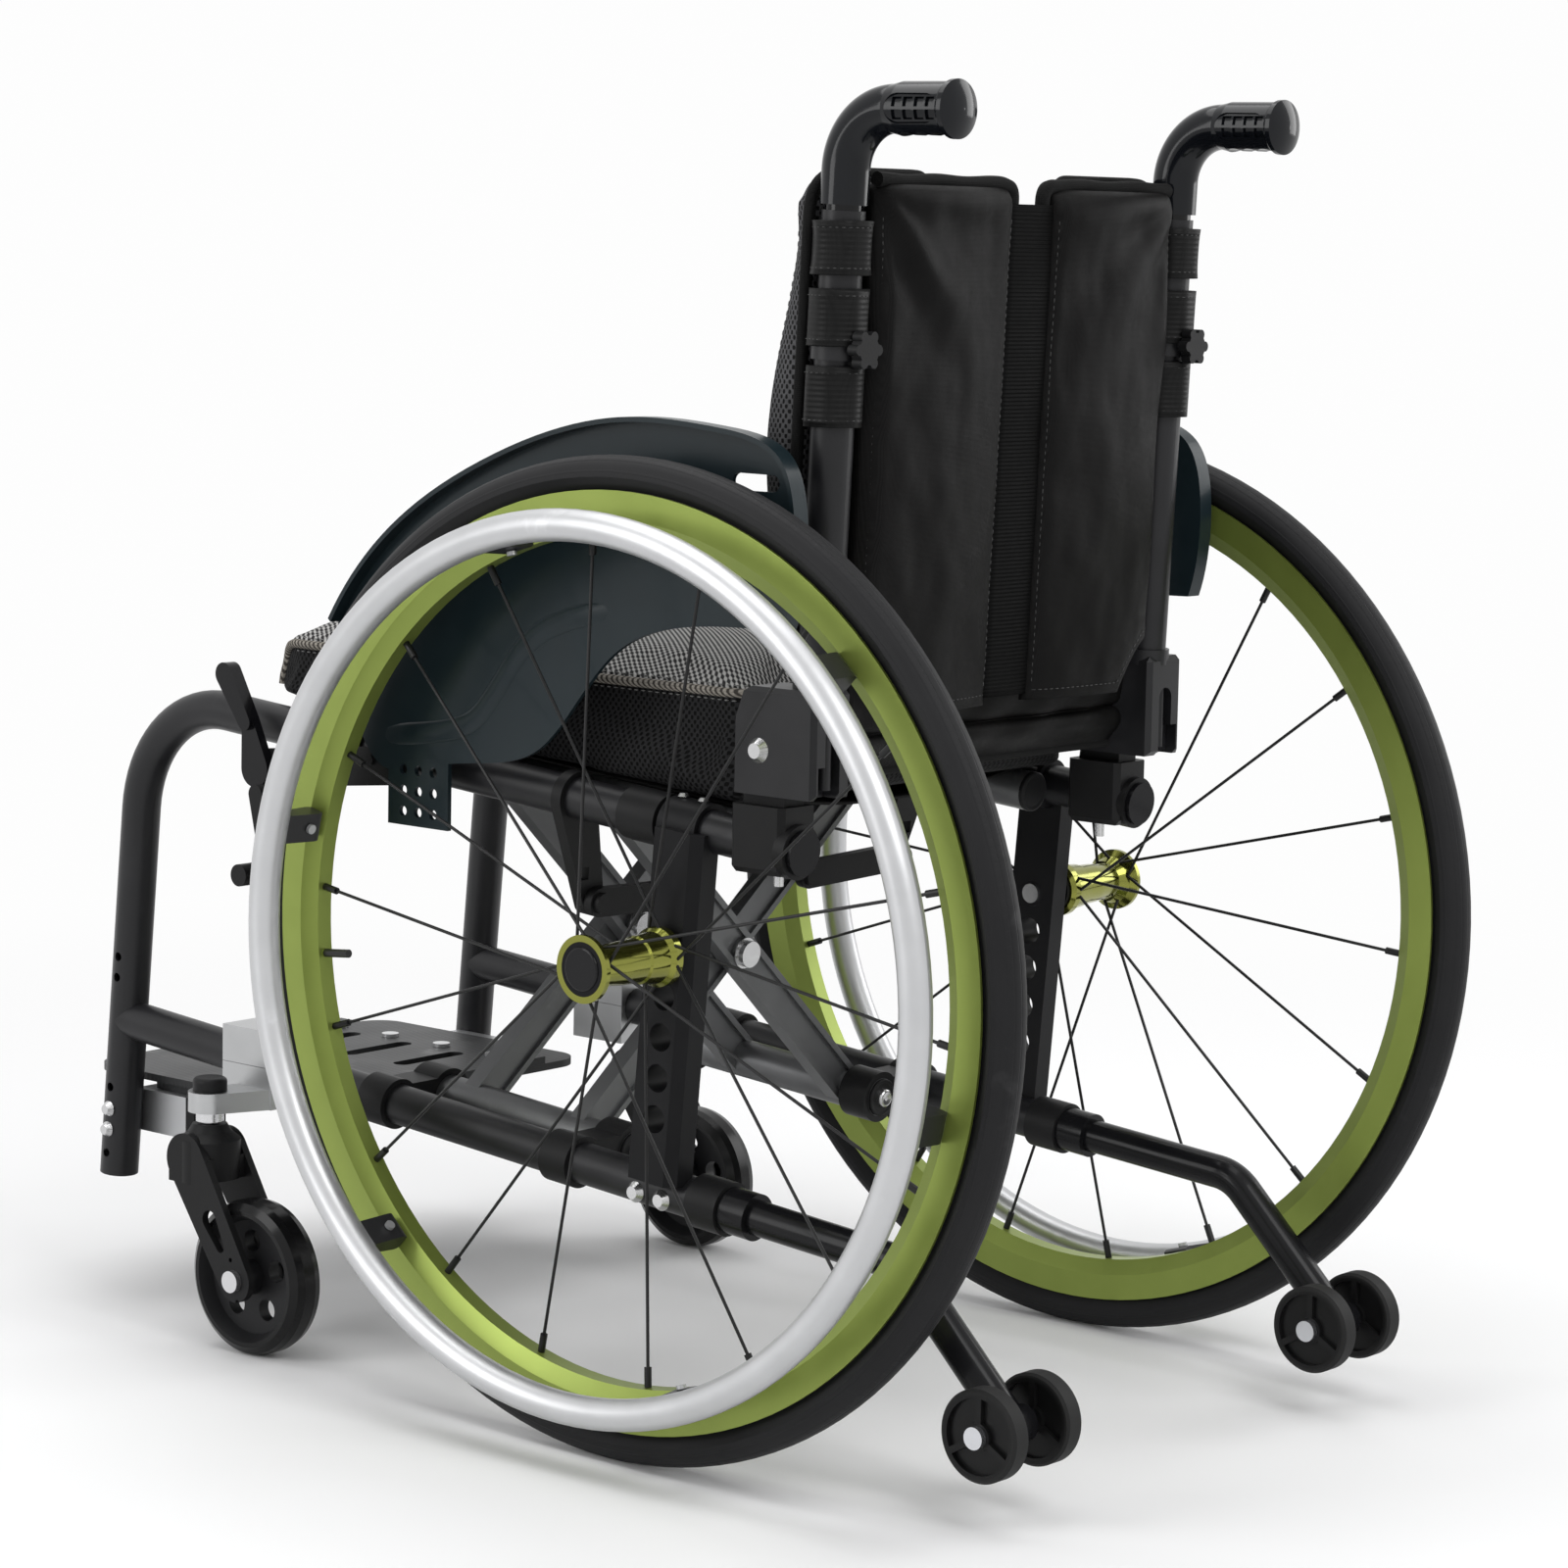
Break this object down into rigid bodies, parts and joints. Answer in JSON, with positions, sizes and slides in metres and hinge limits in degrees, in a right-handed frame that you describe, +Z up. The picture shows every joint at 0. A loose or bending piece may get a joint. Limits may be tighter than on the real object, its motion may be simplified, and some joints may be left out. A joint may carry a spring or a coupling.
{
  "type": "folding wheelchair",
  "caption": "Folding wheelchair with a cross brace, spoked rear wheels with hand rims, front casters, anti-tip wheels, side guards and padded seat and back.",
  "frame": {"origin": "on the floor, under the middle of the whole chair's bounding box", "axes": "+Z up, -Y the way the user faces, +X the user's left"},
  "size_m": [0.558, 0.8579, 0.8088],
  "materials": {
    "frame_black": "matte powder coat",
    "silver": "satin anodised",
    "bright_steel": "bright fastener",
    "rim_green": "green anodised",
    "hub_green": "polished green",
    "spoke_black": "black spokes",
    "tyre": "rubber tread",
    "lock_black": "black moulded and coated lock",
    "grip_rubber": "soft grip",
    "guard": "dark moulded guard",
    "plate": "ribbed footplate",
    "cloth": "woven nylon and spacer mesh"
  },
  "bodies": {
    "left_frame": {"left_side_frame": "frame_black", "left_axle_bar": "frame_black", "left_frame_brackets": "silver", "left_frame_bolts": "bright_steel", "left_hinge_base": "frame_black", "left_side_guard": "guard", "left_lock_mount": "lock_black", "left_caster_arm": "silver"},
    "left_brace": {"left_cross_brace": "frame_black", "centre_bolts": "bright_steel"},
    "left_link": {"left_stabiliser_link": "frame_black"},
    "left_back": {"left_back_post": "frame_black", "back_upholstery": "cloth"},
    "left_handle": {"left_push_handle": "frame_black", "left_grip": "grip_rubber"},
    "left_knob": {"left_star_knob": "bright_steel"},
    "left_wheel": {"left_tyre": "tyre", "left_rim": "rim_green", "left_spokes": "spoke_black", "left_hub": "hub_green", "left_hand_rim": "silver"},
    "left_button": {"left_axle_button": "bright_steel"},
    "left_lever": {"left_lock_lever": "lock_black"},
    "left_shoe": {"left_lock_shoe": "lock_black"},
    "left_caster": {"left_caster_fork": "lock_black"},
    "left_caster_roller": {"left_caster_wheel": "tyre"},
    "left_tip": {"left_tip_tube": "frame_black"},
    "left_outer_roller": {"left_outer_tip_wheel": "tyre"},
    "left_inner_roller": {"left_inner_tip_wheel": "tyre"},
    "right_frame": {"right_side_frame": "frame_black", "right_axle_bar": "frame_black", "right_frame_brackets": "silver", "right_frame_bolts": "bright_steel", "right_hinge_base": "frame_black", "right_side_guard": "guard", "right_lock_mount": "lock_black", "right_caster_arm": "silver"},
    "right_brace": {"right_cross_brace": "frame_black"},
    "right_link": {"right_stabiliser_link": "frame_black"},
    "right_back": {"right_back_post": "frame_black"},
    "right_handle": {"right_push_handle": "frame_black", "right_grip": "grip_rubber"},
    "right_knob": {"right_star_knob": "bright_steel"},
    "right_wheel": {"right_tyre": "tyre", "right_rim": "rim_green", "right_spokes": "spoke_black", "right_hub": "hub_green", "right_hand_rim": "silver"},
    "right_button": {"right_axle_button": "bright_steel"},
    "right_lever": {"right_lock_lever": "lock_black"},
    "right_shoe": {"right_lock_shoe": "lock_black"},
    "right_caster": {"right_caster_fork": "lock_black"},
    "right_caster_roller": {"right_caster_wheel": "tyre"},
    "right_tip": {"right_tip_tube": "frame_black"},
    "right_outer_roller": {"right_outer_tip_wheel": "tyre"},
    "right_inner_roller": {"right_inner_tip_wheel": "tyre"},
    "seat": {"seat_cushion": "cloth", "seat_sling": "cloth"},
    "footplate": {"footplate_left": "plate", "footplate_right": "plate"}
  },
  "joints": [
    {"name": "cross_fold", "type": "hinge", "parent": "left_frame", "child": "left_brace", "pos_m": [0.12, 0.133, 0.148], "axis": [0, 0.9968, -0.0802], "range_deg": [0, 38], "deforming": ["seat_cushion", "seat_sling", "back_upholstery"]},
    {"name": "centre_pivot", "type": "hinge", "parent": "left_brace", "child": "right_brace", "pos_m": [0, 0.14155, 0.25422], "axis": [0, 0.9968, -0.0802], "range_deg": [-76, 0]},
    {"name": "right_fold", "type": "hinge", "parent": "right_brace", "child": "right_frame", "pos_m": [-0.12, 0.133, 0.148], "axis": [0, 0.9968, -0.0802], "range_deg": [0, 38]},
    {"name": "seat_fold", "type": "hinge", "parent": "right_brace", "child": "seat", "pos_m": [0.13, 0.1508, 0.36928], "axis": [0, 0.9968, -0.0802], "range_deg": [0, 38]},
    {"name": "left_link_turn", "type": "hinge", "parent": "left_frame", "child": "left_link", "pos_m": [0.145, 0.14551, 0.3035], "axis": [0, 0.9968, -0.0802], "range_deg": [0, 63.84]},
    {"name": "right_link_turn", "type": "hinge", "parent": "right_frame", "child": "right_link", "pos_m": [-0.145, 0.14551, 0.3035], "axis": [0, 0.9968, -0.0802], "range_deg": [-63.84, 0]},
    {"name": "footplate_turn", "type": "hinge", "parent": "left_frame", "child": "footplate", "pos_m": [0.1475, -0.327, 0.149], "axis": [0, 1, 0], "range_deg": [0, 88.6]},
    {"name": "left_back_fold", "type": "hinge", "parent": "left_frame", "child": "left_back", "pos_m": [0.163, 0.196, 0.423], "axis": [1, 0, 0], "range_deg": [-5, 25]},
    {"name": "right_back_fold", "type": "hinge", "parent": "right_frame", "child": "right_back", "pos_m": [-0.163, 0.196, 0.423], "axis": [1, 0, 0], "range_deg": [-5, 25]},
    {"name": "left_handle_height", "type": "slide", "parent": "left_back", "child": "left_handle", "axis": [0, 0.0427, 0.9991], "range_m": [0, 0.08]},
    {"name": "left_knob_turn", "type": "hinge", "parent": "left_back", "child": "left_knob", "pos_m": [0.16, 0.2318, 0.656], "axis": [0, 1, 0], "range_deg": [0, 360]},
    {"name": "left_wheel_spin", "type": "hinge", "parent": "left_frame", "child": "left_wheel", "pos_m": [0.226, 0.133, 0.296], "axis": [1, 0, 0], "continuous": true},
    {"name": "left_button_press", "type": "slide", "parent": "left_frame", "child": "left_button", "axis": [-1, 0, 0], "range_m": [0, 0.002], "stiffness_N_per_m": 250},
    {"name": "left_lever_turn", "type": "hinge", "parent": "left_frame", "child": "left_lever", "pos_m": [0.185, -0.215, 0.374], "axis": [1, 0, 0], "range_deg": [0, 40]},
    {"name": "left_shoe_turn", "type": "hinge", "parent": "left_frame", "child": "left_shoe", "pos_m": [0.185, -0.201, 0.36], "axis": [1, 0, 0], "range_deg": [0, 26]},
    {"name": "left_caster_swivel", "type": "hinge", "parent": "left_frame", "child": "left_caster", "pos_m": [0.208, -0.241, 0.12], "axis": [0, 0, 1], "continuous": true},
    {"name": "left_caster_roll", "type": "hinge", "parent": "left_caster", "child": "left_caster_roller", "pos_m": [0.208, -0.196, 0.05], "axis": [1, 0, 0], "continuous": true},
    {"name": "left_tip_turn", "type": "hinge", "parent": "left_frame", "child": "left_tip", "pos_m": [0.165, 0.133, 0.148], "axis": [0, 0.9968, -0.0802], "range_deg": [0, 180]},
    {"name": "left_outer_tip_roll", "type": "hinge", "parent": "left_tip", "child": "left_outer_roller", "pos_m": [0.1895, 0.382, 0.055], "axis": [1, 0, 0], "continuous": true},
    {"name": "left_inner_tip_roll", "type": "hinge", "parent": "left_tip", "child": "left_inner_roller", "pos_m": [0.1405, 0.382, 0.055], "axis": [1, 0, 0], "continuous": true},
    {"name": "right_handle_height", "type": "slide", "parent": "right_back", "child": "right_handle", "axis": [0, 0.0427, 0.9991], "range_m": [0, 0.08]},
    {"name": "right_knob_turn", "type": "hinge", "parent": "right_back", "child": "right_knob", "pos_m": [-0.16, 0.2318, 0.656], "axis": [0, 1, 0], "range_deg": [0, 360]},
    {"name": "right_wheel_spin", "type": "hinge", "parent": "right_frame", "child": "right_wheel", "pos_m": [-0.226, 0.133, 0.296], "axis": [1, 0, 0], "continuous": true},
    {"name": "right_button_press", "type": "slide", "parent": "right_frame", "child": "right_button", "axis": [1, 0, 0], "range_m": [0, 0.002], "stiffness_N_per_m": 250},
    {"name": "right_lever_turn", "type": "hinge", "parent": "right_frame", "child": "right_lever", "pos_m": [-0.185, -0.215, 0.374], "axis": [1, 0, 0], "range_deg": [0, 40]},
    {"name": "right_shoe_turn", "type": "hinge", "parent": "right_frame", "child": "right_shoe", "pos_m": [-0.185, -0.201, 0.36], "axis": [1, 0, 0], "range_deg": [0, 26]},
    {"name": "right_caster_swivel", "type": "hinge", "parent": "right_frame", "child": "right_caster", "pos_m": [-0.208, -0.241, 0.12], "axis": [0, 0, 1], "continuous": true},
    {"name": "right_caster_roll", "type": "hinge", "parent": "right_caster", "child": "right_caster_roller", "pos_m": [-0.208, -0.196, 0.05], "axis": [1, 0, 0], "continuous": true},
    {"name": "right_tip_turn", "type": "hinge", "parent": "right_frame", "child": "right_tip", "pos_m": [-0.165, 0.133, 0.148], "axis": [0, -0.9968, 0.0802], "range_deg": [0, 180]},
    {"name": "right_outer_tip_roll", "type": "hinge", "parent": "right_tip", "child": "right_outer_roller", "pos_m": [-0.1895, 0.382, 0.055], "axis": [1, 0, 0], "continuous": true},
    {"name": "right_inner_tip_roll", "type": "hinge", "parent": "right_tip", "child": "right_inner_roller", "pos_m": [-0.1405, 0.382, 0.055], "axis": [1, 0, 0], "continuous": true}
  ],
  "couplings": [
    {"joint": "centre_pivot", "follows": "cross_fold", "ratio": -2},
    {"joint": "right_fold", "follows": "cross_fold", "ratio": 1},
    {"joint": "seat_fold", "follows": "cross_fold", "ratio": 1},
    {"joint": "left_link_turn", "follows": "cross_fold", "ratio": 1.68},
    {"joint": "right_link_turn", "follows": "cross_fold", "ratio": -1.68},
    {"joint": "footplate_turn", "follows": "cross_fold", "ratio": 2.33},
    {"joint": "right_back_fold", "follows": "left_back_fold", "ratio": 1},
    {"joint": "left_shoe_turn", "follows": "left_lever_turn", "ratio": 0.65},
    {"joint": "right_shoe_turn", "follows": "right_lever_turn", "ratio": 0.65}
  ]
}
